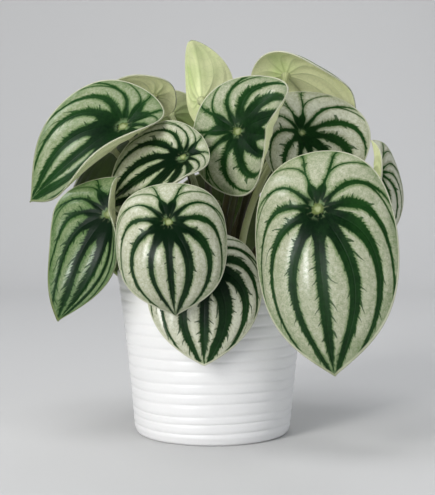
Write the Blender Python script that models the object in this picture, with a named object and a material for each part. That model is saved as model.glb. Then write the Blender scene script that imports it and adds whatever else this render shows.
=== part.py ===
"""Potted watermelon peperomia: round shield-shaped leaves on slender stalks, in a white pot with
soft turned bands, filled with potting mix."""
import math

import bmesh
import bpy
from mathutils import Vector

# Pot, in metres.
POT_HEIGHT = 0.101
FOOT_RADIUS = 0.0478
POT_FLARE = 0.075
POT_BELLY = 0.35
FOOT_ROUND = 0.003
WALL = 0.0036
FLOOR = 0.0045
POT_SIDES = 40
BAND_EDGES = (0.0070, 0.0128, 0.0172, 0.0246, 0.0306, 0.0366, 0.0440, 0.0505, 0.0570, 0.0640,
              0.0705, 0.0775, 0.0840, 0.0910)
GROOVE_DEPTH = 0.0005
BAND_SWELL = 0.0004
LAST_BAND = 0.096
RIM_ROUND = 0.001
INNER_HEIGHTS = (0.030, 0.055, 0.080)

# Potting mix and the plain holes that the leaf stalks stand in.
GAP = 0.0003
WALL_GAP = 0.00036
SOIL_TOP = 0.088
SOIL_RADIUS = 0.045
SOIL_MOUND = 0.003
HOLE_DEPTH = 0.010
HOLE_RADIUS = 0.0029
HOLE_SIDES = 8
CUTTER_LENGTH = 0.03

# Leaf blades.
SPOKES = 24
RINGS = (0.28, 0.54, 0.78, 1.0)
BLADE_THICKNESS = 0.0009
DIMPLE_DEPTH = 0.003
DIMPLE_RADIUS = 0.009
WAVE_HEIGHT = 0.0008
WAVES = 5

# Leaf stalks.
STALK_RADIUS = 0.0024
STALK_TAPER = 0.72
STALK_POINTS = 7
STALK_RISE = 0.002
STALK_NECK = 0.004
JOIN_GAP = 0.0004


def leaf(at, size, face, folds, root, **shape):
    """One leaf: where its stalk joins, length and width, then in degrees the facing, the lean and
    the turn of the tip, the bends of tip, base, left half and right half, and the stalk's root."""
    values = dict(base=0.27, point=0.75, broad=0.16, sweep=0.0, relax=0.0, lean=0.0, crease=1.0,
                  climb=0.45, reach=0.35, sway=(0.0, 0.0, 0.0))
    values.update(shape)
    values.update(at=Vector(at), length=size[0], width=size[1], root=root)
    values.update(facing=face[0], tilt=face[1], turn=face[2])
    values.update(tip_bend=folds[0], base_bend=folds[1], left=folds[2], right=folds[3])
    return values


LEAVES = (
    # Front and sides.
    leaf((0.0571, -0.0920, 0.1412), (0.134, 0.089), (-17, 10, 5), (35, 42, 45, 38), (0.020, -0.018),
         base=0.28, point=1.0, broad=0.14),
    leaf((-0.0240, -0.0940, 0.1345), (0.088, 0.076), (-4, 16, 3), (75, 35, 60, 60), (-0.013, -0.024),
         base=0.28, point=1.6, broad=0.36, climb=0.6, sway=(0.0, 0.0, 0.012)),
    leaf((-0.0045, -0.0660, 0.1100), (0.079, 0.070), (2, 4, 0), (15, 40, 33, 28), (0.006, -0.025),
         base=0.24),
    leaf((-0.0608, -0.0520, 0.1370), (0.087, 0.064), (-16, 5, 3), (20, 44, 10, -79), (-0.022, -0.015),
         base=0.28, point=0.7, broad=0.34, lean=-0.18, sweep=-0.037, relax=0.9, crease=0.25,
         sway=(0.0, 0.0, -0.012)),
    leaf((-0.0550, -0.0120, 0.1905), (0.102, 0.083), (-22, 35, -49), (22, 10, -15, -75), (-0.016, -0.005),
         base=0.262, point=1.1),
    leaf((-0.0183, -0.0400, 0.1715), (0.071, 0.074), (-22, 35, -58), (25, 10, -5, -58), (-0.004, -0.014),
         base=0.23, lean=0.16, relax=0.5),
    leaf((0.0140, -0.0320, 0.1860), (0.083, 0.077), (-20, 10, 76), (-100, 10, 5, 30), (0.006, -0.004),
         base=0.34),
    leaf((0.0550, -0.0200, 0.1860), (0.078, 0.072), (30, 22, 6), (30, 20, 25, -25), (0.016, -0.008),
         base=0.36, lean=0.17),
    leaf((0.0995, -0.0350, 0.1615), (0.069, 0.046), (30, 12, -8), (30, 25, -66, 20), (0.027, -0.005),
         base=0.30, broad=-0.1, crease=0.3, climb=0.15, reach=0.3, sway=(0.0, 0.0, -0.022)),
    # Top, seen from below.
    leaf((0.0463, 0.0140, 0.2240), (0.079, 0.065), (170, 45, -61), (50, 20, 62, 30), (0.014, 0.006),
         base=0.27, point=1.3, broad=0.25, reach=0.18),
    leaf((-0.0375, 0.0320, 0.2122), (0.058, 0.047), (180, 50, 90), (30, 40, 30, 30), (-0.014, 0.006)),
    leaf((-0.0070, 0.0040, 0.2054), (0.053, 0.040), (185, 8, 181), (30, 10, -68, -20), (-0.002, 0.008),
         point=0.3, lean=0.1, sweep=-0.007, crease=0.15),
    # Right side and back.
    leaf((0.0850, 0.0300, 0.1680), (0.076, 0.056), (78, 30, 5), (30, 25, 30, 30), (0.027, 0.005)),
    leaf((0.0740, 0.0540, 0.1290), (0.086, 0.070), (126, 12, -4), (25, 35, 35, 35), (0.021, 0.017)),
    leaf((0.0420, 0.0520, 0.1780), (0.072, 0.060), (144, 48, 6), (30, 20, 30, 30), (0.010, 0.015)),
    leaf((0.0030, 0.0880, 0.1400), (0.094, 0.072), (178, 8, 0), (25, 40, 40, 40), (0.004, 0.027)),
    leaf((-0.0280, 0.0600, 0.2000), (0.062, 0.046), (188, 15, 0), (25, 10, 25, 25), (-0.006, 0.017)),
    leaf((-0.0560, 0.0720, 0.1400), (0.074, 0.062), (214, 12, 4), (25, 35, 35, 35), (-0.015, 0.022)),
    leaf((-0.0660, 0.0280, 0.1780), (0.072, 0.058), (250, 46, 6), (30, 20, 30, 30), (-0.023, 0.008)),
    leaf((-0.0850, 0.0170, 0.1350), (0.078, 0.064), (270, 12, -4), (25, 35, 35, 35), (-0.029, -0.001)),
    leaf((0.0165, 0.0420, 0.2000), (0.056, 0.042), (172, 72, 10), (20, 15, 25, 25), (0.004, 0.017)),
)


def outline_point(blade, angle):
    """The margin at one outline angle: 0 at the tip and pi at the base."""
    to_tip = blade["length"] * (1 - blade["base"])
    to_base = blade["length"] * blade["base"]
    pointed = ((1 + math.cos(angle)) / 2) ** 2
    along = (to_tip - to_base) / 2 + (to_tip + to_base) / 2 * math.cos(angle)
    across = blade["width"] / 2 * abs(math.sin(angle)) ** (1 + blade["point"] * pointed)
    across *= (1 - blade["broad"] * math.cos(angle)) / (1 + blade["broad"] ** 2 / 2)
    return across, along


def arc(turn, reach, distance):
    """Distance run along an arc that turns so many degrees over its reach, and straight on beyond
    it: forward and down."""
    curve = math.radians(turn) / reach
    if abs(curve) < 1e-6:
        return distance, 0.0
    bent = max(-reach, min(reach, distance))
    beyond = distance - bent
    forward = math.sin(curve * bent) / curve + beyond * math.cos(curve * bent)
    drop = -(1 - math.cos(curve * bent)) / curve - beyond * math.sin(curve * bent)
    return forward, drop


def blade_point(blade, angle, share):
    """A point of the leaf's upper face: the outline angle, from -pi to pi, and the share of the
    way out to the margin."""
    across, along = outline_point(blade, angle)
    across = math.copysign(across, angle) * share
    along *= share
    to_tip = blade["length"] * (1 - blade["base"])
    to_base = blade["length"] * blade["base"]
    half = blade["width"] / 2
    tipward = max(0.0, along / to_tip)
    across *= 1 + blade["lean"] * math.copysign(1.0, across)
    if along > 0:
        forward, drop = arc(blade["tip_bend"], to_tip, along)
    else:
        forward, drop = arc(blade["base_bend"], to_base, along)
    fold = (blade["right"] if across > 0 else blade["left"]) * (1 - blade["relax"] * tipward)
    sideways, side_drop = arc(fold, half * blade["crease"], across)
    distance = math.hypot(across, along)
    height = drop + side_drop - DIMPLE_DEPTH * math.exp(-(distance / DIMPLE_RADIUS) ** 2)
    height += WAVE_HEIGHT * share ** 3 * math.sin(WAVES * angle)
    sideways += blade["sweep"] * tipward ** 2
    side, tip, up = blade_axes(blade)
    return blade["at"] + side * sideways + tip * forward + up * height


def blade_axes(blade):
    """The leaf's own directions: to its right half, to its tip and out of its upper face."""
    facing, tilt, turn = (math.radians(blade[key]) for key in ("facing", "tilt", "turn"))
    up = Vector((math.cos(tilt) * math.sin(facing), -math.cos(tilt) * math.cos(facing), math.sin(tilt)))
    level = Vector((math.cos(facing), math.sin(facing), 0.0))
    down = Vector((math.sin(tilt) * math.sin(facing), -math.sin(tilt) * math.cos(facing), -math.cos(tilt)))
    tip = down * math.cos(turn) + level * math.sin(turn)
    side = level * math.cos(turn) - down * math.sin(turn)
    return side, tip, up


def material(name, colour, roughness):
    """A plain coat for one kind of piece."""
    coat = bpy.data.materials.new(name)
    coat.use_nodes = True
    shader = coat.node_tree.nodes["Principled BSDF"]
    shader.inputs["Base Color"].default_value = (*colour, 1.0)
    shader.inputs["Roughness"].default_value = roughness
    shader.inputs["Metallic"].default_value = 0.0
    return coat


def add_object(name, shape, coat):
    """Turns a finished bmesh into a named object with its coat."""
    mesh = bpy.data.meshes.new(name)
    shape.to_mesh(mesh)
    shape.free()
    mesh.materials.append(coat)
    thing = bpy.data.objects.new(name, mesh)
    bpy.context.scene.collection.objects.link(thing)
    return thing


def turned(profile, steps):
    """A closed body of revolution from a profile of radius and height, from axis to axis."""
    shape = bmesh.new()
    verts = [shape.verts.new((radius, 0.0, height)) for radius, height in profile]
    edges = [shape.edges.new(pair) for pair in zip(verts, verts[1:])]
    bmesh.ops.spin(shape, geom=verts + edges, cent=(0, 0, 0), axis=(0, 0, 1), angle=2 * math.pi,
                   steps=steps, use_merge=True)
    bmesh.ops.remove_doubles(shape, verts=shape.verts, dist=1e-6)
    bmesh.ops.recalc_face_normals(shape, faces=shape.faces)
    return shape


def pot_radius(height):
    """Radius of the plain pot wall, which flares a little more towards the rim."""
    return FOOT_RADIUS + POT_FLARE * height + POT_BELLY * height ** 2


def inner_radius(height):
    return pot_radius(height) - WALL


def pot_profile():
    """From the middle of the foot up the banded outside, over the rim and down the inside."""
    points = [(0.0, 0.0), (FOOT_RADIUS - FOOT_ROUND, 0.0),
              (FOOT_RADIUS - FOOT_ROUND * 0.3, FOOT_ROUND * 0.3)]
    low = FOOT_ROUND
    for groove in BAND_EDGES:
        middle = (low + groove) / 2
        points.append((pot_radius(middle) + BAND_SWELL, middle))
        points.append((pot_radius(groove) - GROOVE_DEPTH, groove))
        low = groove
    points.append((pot_radius(LAST_BAND), LAST_BAND))
    points.append((pot_radius(POT_HEIGHT), POT_HEIGHT - RIM_ROUND))
    points.append((pot_radius(POT_HEIGHT) - WALL / 2, POT_HEIGHT))
    points.append((inner_radius(POT_HEIGHT), POT_HEIGHT - RIM_ROUND))
    points += [(inner_radius(height), height) for height in reversed((FLOOR,) + INNER_HEIGHTS)]
    points.append((0.0, FLOOR))
    return points


def soil_profile():
    """Fills the pot to below the rim, a little higher in the middle."""
    points = [(0.0, FLOOR + GAP)]
    points += [(inner_radius(height) - WALL_GAP, height) for height in (FLOOR + GAP,) + INNER_HEIGHTS]
    points.append((inner_radius(SOIL_TOP) - WALL_GAP, SOIL_TOP - RIM_ROUND))
    points.append((SOIL_RADIUS, SOIL_TOP))
    points.append((0.0, SOIL_TOP + SOIL_MOUND))
    return points


def soil_height(root):
    """Height of the mounded surface at a place."""
    outward = min(1.0, math.hypot(*root) / SOIL_RADIUS)
    return SOIL_TOP + SOIL_MOUND * (1 - outward)


def hole_cutter():
    """One plain round hole for each leaf stalk."""
    shape = bmesh.new()
    for blade in LEAVES:
        x, y = blade["root"]
        bottom = soil_height(blade["root"]) - HOLE_DEPTH
        made = bmesh.ops.create_cone(shape, cap_ends=True, segments=HOLE_SIDES, radius1=HOLE_RADIUS,
                                     radius2=HOLE_RADIUS, depth=CUTTER_LENGTH)
        bmesh.ops.translate(shape, verts=made["verts"], vec=(x, y, bottom + CUTTER_LENGTH / 2))
    return shape


def make_soil(coat):
    """The mix, with its holes cut by a hidden cutter."""
    cutter = add_object("soil_holes", hole_cutter(), coat)
    cutter.hide_render = True
    cutter.display_type = "WIRE"
    soil = add_object("potting_mix", turned(soil_profile(), POT_SIDES), coat)
    cut = soil.modifiers.new("holes", "BOOLEAN")
    cut.operation = "DIFFERENCE"
    cut.solver = "EXACT"
    cut.object = cutter
    return soil


def make_blade(name, blade, coat):
    """A round sheet of rings and spokes, swept into the leaf's form and thickened downwards."""
    shape = bmesh.new()
    ring = [shape.verts.new((share, 0.0, 0.0)) for share in (0.0,) + RINGS]
    edges = [shape.edges.new(pair) for pair in zip(ring, ring[1:])]
    bmesh.ops.spin(shape, geom=ring + edges, cent=(0, 0, 0), axis=(0, 0, 1), angle=2 * math.pi,
                   steps=SPOKES, use_merge=True)
    bmesh.ops.remove_doubles(shape, verts=shape.verts, dist=1e-5)
    for vert in shape.verts:
        share = math.hypot(vert.co.x, vert.co.y)
        vert.co = blade_point(blade, math.atan2(vert.co.y, vert.co.x), share)
    bmesh.ops.triangulate(shape, faces=shape.faces)
    up = blade_axes(blade)[2]
    centre = min(shape.faces, key=lambda face: (face.calc_center_median() - blade["at"]).length)
    if centre.normal.dot(up) < 0:
        bmesh.ops.reverse_faces(shape, faces=shape.faces)
    thing = add_object(name, shape, coat)
    body = thing.modifiers.new("body", "SOLIDIFY")
    body.thickness = BLADE_THICKNESS
    body.offset = -1.0
    body.use_even_offset = True
    return thing


def stalk_route(blade):
    """Straight up out of the soil, then over to meet the underside of the blade squarely."""
    x, y = blade["root"]
    up = blade_axes(blade)[2]
    surface = soil_height(blade["root"])
    end = blade["at"] - up * (DIMPLE_DEPTH + BLADE_THICKNESS + JOIN_GAP)
    neck = end - up * STALK_NECK
    start = Vector((x, y, surface + STALK_RISE))
    span = (neck - start).length
    first = start + Vector((0, 0, span * blade["climb"]))
    second = neck - up * span * blade["reach"] + Vector(blade["sway"])
    points = [Vector((x, y, surface - HOLE_DEPTH + GAP))]
    for step in range(STALK_POINTS):
        t = step / (STALK_POINTS - 1)
        points.append(start * (1 - t) ** 3 + first * 3 * t * (1 - t) ** 2
                      + second * 3 * t * t * (1 - t) + neck * t ** 3)
    points.append(end)
    return points


def make_stalk(name, blade, coat):
    """A tapering round stalk along its route."""
    points = stalk_route(blade)
    line = bpy.data.curves.new(name, "CURVE")
    line.dimensions = "3D"
    line.bevel_depth = STALK_RADIUS
    line.bevel_resolution = 1
    line.use_fill_caps = True
    route = line.splines.new("POLY")
    route.points.add(len(points) - 1)
    for step, (knot, place) in enumerate(zip(route.points, points)):
        knot.co = (*place, 1.0)
        knot.radius = 1 - (1 - STALK_TAPER) * step / (len(points) - 1)
    line.materials.append(coat)
    thing = bpy.data.objects.new(name, line)
    bpy.context.scene.collection.objects.link(thing)
    return thing


def main():
    for thing in list(bpy.data.objects):
        bpy.data.objects.remove(thing, do_unlink=True)
    white = material("pot_white", (0.86, 0.87, 0.88), 0.45)
    earth = material("potting_mix", (0.045, 0.032, 0.022), 0.95)
    green = material("leaf_green", (0.10, 0.20, 0.10), 0.4)
    pale = material("stalk_pale", (0.62, 0.66, 0.36), 0.45)
    pot = add_object("pot", turned(pot_profile(), POT_SIDES), white)
    for face in pot.data.polygons:
        face.use_smooth = True
    pot.data.set_sharp_from_angle(angle=math.radians(40))
    make_soil(earth)
    for number, blade in enumerate(LEAVES, start=1):
        make_blade(f"leaf_{number:02d}", blade, green)
        make_stalk(f"stalk_{number:02d}", blade, pale)


main()
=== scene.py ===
# A potted watermelon peperomia: finished leaves, stalks, pot and potting mix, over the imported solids.
import math
from types import SimpleNamespace

import bmesh
import bpy
import numpy as np
from mathutils import Matrix, Vector, noise


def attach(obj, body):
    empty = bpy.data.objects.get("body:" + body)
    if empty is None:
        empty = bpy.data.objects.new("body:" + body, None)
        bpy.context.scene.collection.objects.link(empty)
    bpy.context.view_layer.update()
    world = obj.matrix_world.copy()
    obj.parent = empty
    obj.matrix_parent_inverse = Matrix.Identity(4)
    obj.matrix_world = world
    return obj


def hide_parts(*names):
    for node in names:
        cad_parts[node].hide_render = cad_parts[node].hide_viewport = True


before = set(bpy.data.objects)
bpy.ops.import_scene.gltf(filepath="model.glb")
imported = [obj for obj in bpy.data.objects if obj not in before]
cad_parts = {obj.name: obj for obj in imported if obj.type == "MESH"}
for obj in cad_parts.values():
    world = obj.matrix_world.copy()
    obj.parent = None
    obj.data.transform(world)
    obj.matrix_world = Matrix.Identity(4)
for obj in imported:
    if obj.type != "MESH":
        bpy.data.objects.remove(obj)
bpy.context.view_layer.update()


def addObject(name, data):
    item = bpy.data.objects.new(name, data)
    bpy.context.scene.collection.objects.link(item)
    return item


# Camera, as in the photograph.
cameraSetup = {
    "place": (0.0031, -0.745, 0.158),
    "pitch": -3.35,
    "pixels": (435, 495),
    "focalPixels": 1203,
    "sensor": 36.0,
    "clip": (0.01, 20),
}


def addCamera(setup):
    camera = bpy.data.cameras.new("camera")
    camera.sensor_width = setup["sensor"]
    camera.lens = setup["focalPixels"] * setup["sensor"] / max(setup["pixels"])
    camera.clip_start, camera.clip_end = setup["clip"]
    view = addObject("camera", camera)
    view.location = setup["place"]
    view.rotation_euler = (math.radians(90 + setup["pitch"]), 0, 0)
    bpy.context.scene.camera = view


addCamera(cameraSetup)
bpy.context.scene.view_settings.view_transform = "Standard"
print("camera set")


# Node helper: builds one material's nodes with short calls.
class Paint:
    def __init__(self, name, **fixed):
        self.material = bpy.data.materials.new(name)
        self.material.use_nodes = True
        self.tree = self.material.node_tree
        self.shader = self.tree.nodes["Principled BSDF"]
        for label, value in fixed.items():
            self.shader.inputs[label.replace("_", " ")].default_value = value

    def feed(self, socket, source):
        if isinstance(source, bpy.types.NodeSocket):
            self.tree.links.new(source, socket)
        elif source is not None:
            socket.default_value = source

    def node(self, kind, inputs=(), output=0, **settings):
        made = self.tree.nodes.new(kind)
        for label, value in settings.items():
            setattr(made, label, value)
        for socket, source in dict(inputs).items():
            self.feed(made.inputs[socket], source)
        return made.outputs[output]

    def calc(self, operation, *sources):
        return self.node("ShaderNodeMath", enumerate(sources), operation=operation)

    def chain(self, operation, first, *others):
        for other in others:
            first = self.calc(operation, first, other)
        return first

    def times(self, *sources):
        return self.chain("MULTIPLY", *sources)

    def plus(self, *sources):
        return self.chain("ADD", *sources)

    def minus(self, *sources):
        return self.chain("SUBTRACT", *sources)

    def size(self, value):
        return self.calc("ABSOLUTE", value)

    def scaled(self, value, factor, offset):
        return self.calc("MULTIPLY_ADD", value, factor, offset)

    def vary(self, grain, amount, value):
        # The value, moved up and down by a noise round its middle.
        return self.scaled(self.minus(grain, 0.5), amount, value)

    def smooth(self, value, low, high, start=0.0, end=1.0):
        inputs = {"Value": value, "From Min": low, "From Max": high, "To Min": start, "To Max": end}
        return self.node("ShaderNodeMapRange", inputs, "Result", interpolation_type="SMOOTHSTEP")

    def within(self, value, unit, low, high, start=0.0, end=1.0):
        # A smooth step between two multiples of a length.
        return self.smooth(value, self.times(unit, low), self.times(unit, high), start, end)

    def blend(self, factor, first, second):
        first, second = ((*tint, 1.0) if isinstance(tint, tuple) else tint for tint in (first, second))
        inputs = {"Factor": factor, 6: first, 7: second}
        return self.node("ShaderNodeMix", inputs, 2, data_type="RGBA")

    def ramp(self, value, *stops):
        made = self.tree.nodes.new("ShaderNodeValToRGB")
        self.feed(made.inputs[0], value)
        elements = made.color_ramp.elements
        for place, _ in stops[1:-1]:
            elements.new(place)
        for element, (place, colour) in zip(elements, stops):
            element.position = place
            element.color = (*colour, 1.0)
        return made.outputs[0]

    def place(self):
        return self.node("ShaderNodeTexCoord", output="Object")

    def uv(self, name):
        spread = self.node("ShaderNodeUVMap", uv_map=name)
        first, second = (self.node("ShaderNodeSeparateXYZ", {0: spread}, part) for part in (0, 1))
        return first, second, spread

    def attribute(self, name):
        return self.node("ShaderNodeAttribute", output="Fac", attribute_name=name)

    def stretch(self, vector, scale):
        return self.node("ShaderNodeMapping", {"Vector": vector, "Scale": scale})

    def join(self, x, y, z=0.0):
        return self.node("ShaderNodeCombineXYZ", enumerate((x, y, z)))

    def noise(self, vector, scale, detail=2.0, roughness=0.5):
        inputs = {"Vector": vector, "Scale": scale, "Detail": detail, "Roughness": roughness}
        return self.node("ShaderNodeTexNoise", inputs)

    def cells(self, vector, scale, feature="F1"):
        inputs = {"Vector": vector, "Scale": scale}
        return self.node("ShaderNodeTexVoronoi", inputs, "Distance", feature=feature)

    def draw(self, vector):
        return self.node("ShaderNodeTexWhiteNoise", {"Vector": vector}, "Value")

    def bump(self, height, strength, distance, normal=None):
        inputs = {"Height": height, "Strength": strength, "Distance": distance, "Normal": normal}
        return self.node("ShaderNodeBump", inputs)

    def finish(self, colour, roughness=None, normal=None):
        for label, source in (("Base Color", colour), ("Roughness", roughness), ("Normal", normal)):
            self.feed(self.shader.inputs[label], source)
        return self.material


# Mesh helpers.
def toMesh(shape):
    mesh = bpy.data.meshes.new("shape")
    shape.to_mesh(mesh)
    shape.free()
    mesh.shade_smooth()
    return mesh


def addChain(shape, points):
    chain = [shape.verts.new(point) for point in points]
    return chain, [shape.edges.new(pair) for pair in zip(chain, chain[1:])]


def spinMesh(profile, sides):
    # Pairs of radius and height, spun right round.
    shape = bmesh.new()
    chain, edges = addChain(shape, [(radius, 0, height) for radius, height in profile])
    bmesh.ops.spin(shape, geom=chain + edges, cent=(0, 0, 0), axis=(0, 0, 1), angle=2 * math.pi,
                   steps=sides, use_merge=True)
    bmesh.ops.remove_doubles(shape, verts=shape.verts, dist=1e-7)
    bmesh.ops.recalc_face_normals(shape, faces=shape.faces)
    return toMesh(shape)


# Leaves. Places, sizes and bends repeat those of the solids, in metres and degrees.
def leaf(at, size, face, folds, root, **shape):
    values = dict(base=0.27, point=0.75, broad=0.16, sweep=0.0, relax=0.0, lean=0.0, crease=1.0,
                  climb=0.45, reach=0.35, sway=0.0)
    names = ("length", "width", "facing", "tilt", "turn", "tipBend", "baseBend", "left", "right")
    values.update(zip(names, size + face + folds), at=Vector(at), root=root, **shape)
    values["toTip"] = values["length"] * (1 - values["base"])
    values["toBase"] = values["length"] * values["base"]
    return values


leaves = (
    # Front and sides.
    leaf((0.0571, -0.092, 0.1412), (0.134, 0.089), (-17, 10, 5), (35, 42, 45, 38), (0.02, -0.018),
         base=0.28, point=1.0, broad=0.14),
    leaf((-0.024, -0.094, 0.1345), (0.088, 0.076), (-4, 16, 3), (75, 35, 60, 60), (-0.013, -0.024),
         base=0.28, point=1.6, broad=0.36, climb=0.6, sway=0.012),
    leaf((-0.0045, -0.066, 0.11), (0.079, 0.07), (2, 4, 0), (15, 40, 33, 28), (0.006, -0.025),
         base=0.24),
    leaf((-0.0608, -0.052, 0.137), (0.087, 0.064), (-16, 5, 3), (20, 44, 10, -79), (-0.022, -0.015),
         base=0.28, point=0.7, broad=0.34, lean=-0.18, sweep=-0.037, relax=0.9, crease=0.25,
         sway=-0.012),
    leaf((-0.055, -0.012, 0.1905), (0.102, 0.083), (-22, 35, -49), (22, 10, -15, -75),
         (-0.016, -0.005), base=0.262, point=1.1),
    leaf((-0.0183, -0.04, 0.1715), (0.071, 0.074), (-22, 35, -58), (25, 10, -5, -58),
         (-0.004, -0.014), base=0.23, lean=0.16, relax=0.5),
    leaf((0.014, -0.032, 0.186), (0.083, 0.077), (-20, 10, 76), (-100, 10, 5, 30), (0.006, -0.004),
         base=0.34),
    leaf((0.055, -0.02, 0.186), (0.078, 0.072), (30, 22, 6), (30, 20, 25, -25), (0.016, -0.008),
         base=0.36, lean=0.17),
    leaf((0.0995, -0.035, 0.1615), (0.069, 0.046), (30, 12, -8), (30, 25, -66, 20), (0.027, -0.005),
         base=0.3, broad=-0.1, crease=0.3, climb=0.15, reach=0.3, sway=-0.022),
    # Top, seen from below.
    leaf((0.0463, 0.014, 0.224), (0.079, 0.065), (170, 45, -61), (50, 20, 62, 30), (0.014, 0.006),
         point=1.3, broad=0.25, reach=0.18),
    leaf((-0.0375, 0.032, 0.2122), (0.058, 0.047), (180, 50, 90), (30, 40, 30, 30), (-0.014, 0.006)),
    leaf((-0.007, 0.004, 0.2054), (0.053, 0.04), (185, 8, 181), (30, 10, -68, -20), (-0.002, 0.008),
         point=0.3, lean=0.1, sweep=-0.007, crease=0.15),
    # Right side and back.
    leaf((0.085, 0.03, 0.168), (0.076, 0.056), (78, 30, 5), (30, 25, 30, 30), (0.027, 0.005)),
    leaf((0.074, 0.054, 0.129), (0.086, 0.07), (126, 12, -4), (25, 35, 35, 35), (0.021, 0.017)),
    leaf((0.042, 0.052, 0.178), (0.072, 0.06), (144, 48, 6), (30, 20, 30, 30), (0.01, 0.015)),
    leaf((0.003, 0.088, 0.14), (0.094, 0.072), (178, 8, 0), (25, 40, 40, 40), (0.004, 0.027)),
    leaf((-0.028, 0.06, 0.2), (0.062, 0.046), (188, 15, 0), (25, 10, 25, 25), (-0.006, 0.017)),
    leaf((-0.056, 0.072, 0.14), (0.074, 0.062), (214, 12, 4), (25, 35, 35, 35), (-0.015, 0.022)),
    leaf((-0.066, 0.028, 0.178), (0.072, 0.058), (250, 46, 6), (30, 20, 30, 30), (-0.023, 0.008)),
    leaf((-0.085, 0.017, 0.135), (0.078, 0.064), (270, 12, -4), (25, 35, 35, 35), (-0.029, -0.001)),
    leaf((0.0165, 0.042, 0.2), (0.056, 0.042), (172, 72, 10), (20, 15, 25, 25), (0.004, 0.017)),
)

# Silver, fresh green and pale underside go from 0 to 1. Pale underside is painted light and shade: high
# where light shines through a lit underside, low for painted shade on undersides deep in the plant. The
# dark heart's reach and the spot's size are in metres. Band is the share of the room between two veins
# that half a dark band takes, and teeth is the strength of its teeth and side veins.
lookNames = ("silver", "fresh", "heart", "pale", "spot", "band", "teeth")
usualLook = (0.50, 0.35, 0.0090, 0.2, 0.0022, 0.31, 1.00)
leafLooks = {
    1: (0.64, 0.40, 0.0095, 0.5, 0.0026, 0.40, 0.85),
    2: (0.78, 0.20, 0.0085, 0.4, 0.0018, 0.26, 0.40),
    3: (0.96, 0.35, 0.0110, 0.2, 0.0020, 0.38, 0.90),
    4: (0.24, 0.25, 0.0100, 1.0, 0.0020, 0.35, 1.45),
    5: (0.42, 0.50, 0.0125, 1.0, 0.0024, 0.52, 1.15),
    6: (0.76, 0.15, 0.0075, 0.7, 0.0018, 0.35, 0.85),
    7: (0.60, 0.50, 0.0115, 0.9, 0.0020, 0.37, 1.20),
    8: (0.88, 0.60, 0.0075, 0.3, 0.0012, 0.25, 0.80),
    9: (1.00, 0.90, 0.0030, 0.9, 0.0006, 0.15, 0.40),
    10: (0.50, 0.50, 0.0090, 0.9, 0.0022, 0.32, 1.00),
    11: (0.45, 0.50, 0.0090, 1.0, 0.0022, 0.30, 1.00),
    12: (0.40, 0.80, 0.0090, 0.7, 0.0022, 0.30, 1.00),
    14: (0.75, 0.30, 0.0090, 0.2, 0.0022, 0.28, 1.00),
    16: (0.85, 0.30, 0.0095, 0.2, 0.0024, 0.25, 1.00),
    17: (0.50, 0.60, 0.0080, 0.6, 0.0020, 0.32, 1.00),
    18: (0.65, 0.30, 0.0090, 0.2, 0.0022, 0.30, 1.00),
    20: (0.40, 0.30, 0.0095, 0.2, 0.0024, 0.33, 1.00),
    21: (0.40, 0.70, 0.0075, 0.6, 0.0020, 0.33, 1.00),
}

leafSetup = {
    "spokes": 128,
    "rings": 30,
    "thickness": 0.0008,
    "dimpleDepth": 0.003,
    "dimpleRadius": 0.009,
    "waveHeight": 0.0008,
    "waves": 5,
    "marginCrowding": 0.92,
    "lastVein": 5.5,  # at the middle of the base lobe
    "veinCrowding": 1.6,
    "veinCurve": (2.0, 2.5, 2.5),  # how late they bend, how much later in the lobe, and from where
    "spacingLimits": (0.0002, 0.03),
    "quiltHeight": 0.0006,
    "quiltWidth": 0.075,  # the blade that has this quilting
    "quiltStart": (0.12, 0.45),
    "quiltEnd": (0.86, 1.0),
    "quiltLobe": (3.5, 5.0),
}


def outlinePoint(blade, angle):
    toTip, toBase = blade["toTip"], blade["toBase"]
    pointed = ((1 + np.cos(angle)) / 2) ** 2
    along = (toTip - toBase) / 2 + (toTip + toBase) / 2 * np.cos(angle)
    across = blade["width"] / 2 * np.abs(np.sin(angle)) ** (1 + blade["point"] * pointed)
    across = across * (1 - blade["broad"] * np.cos(angle)) / (1 + blade["broad"] ** 2 / 2)
    return across, along


def arc(turn, reach, distance):
    # The way along an arc that turns so many degrees over its reach, then straight on.
    curve = np.radians(turn) / reach
    curve = np.where(np.abs(curve) < 1e-6, 1e-6, curve)
    bent = np.clip(distance, -reach, reach)
    beyond = distance - bent
    forward = np.sin(curve * bent) / curve + beyond * np.cos(curve * bent)
    drop = -(1 - np.cos(curve * bent)) / curve - beyond * np.sin(curve * bent)
    return forward, drop


def bladeAxes(blade):
    facing, tilt, turn = (math.radians(blade[key]) for key in ("facing", "tilt", "turn"))
    up = Vector((math.cos(tilt) * math.sin(facing), -math.cos(tilt) * math.cos(facing), math.sin(tilt)))
    level = Vector((math.cos(facing), math.sin(facing), 0.0))
    down = Vector((math.sin(tilt) * math.sin(facing), -math.sin(tilt) * math.cos(facing),
                   -math.cos(tilt)))
    tip = down * math.cos(turn) + level * math.sin(turn)
    side = level * math.cos(turn) - down * math.sin(turn)
    return side, tip, up


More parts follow.
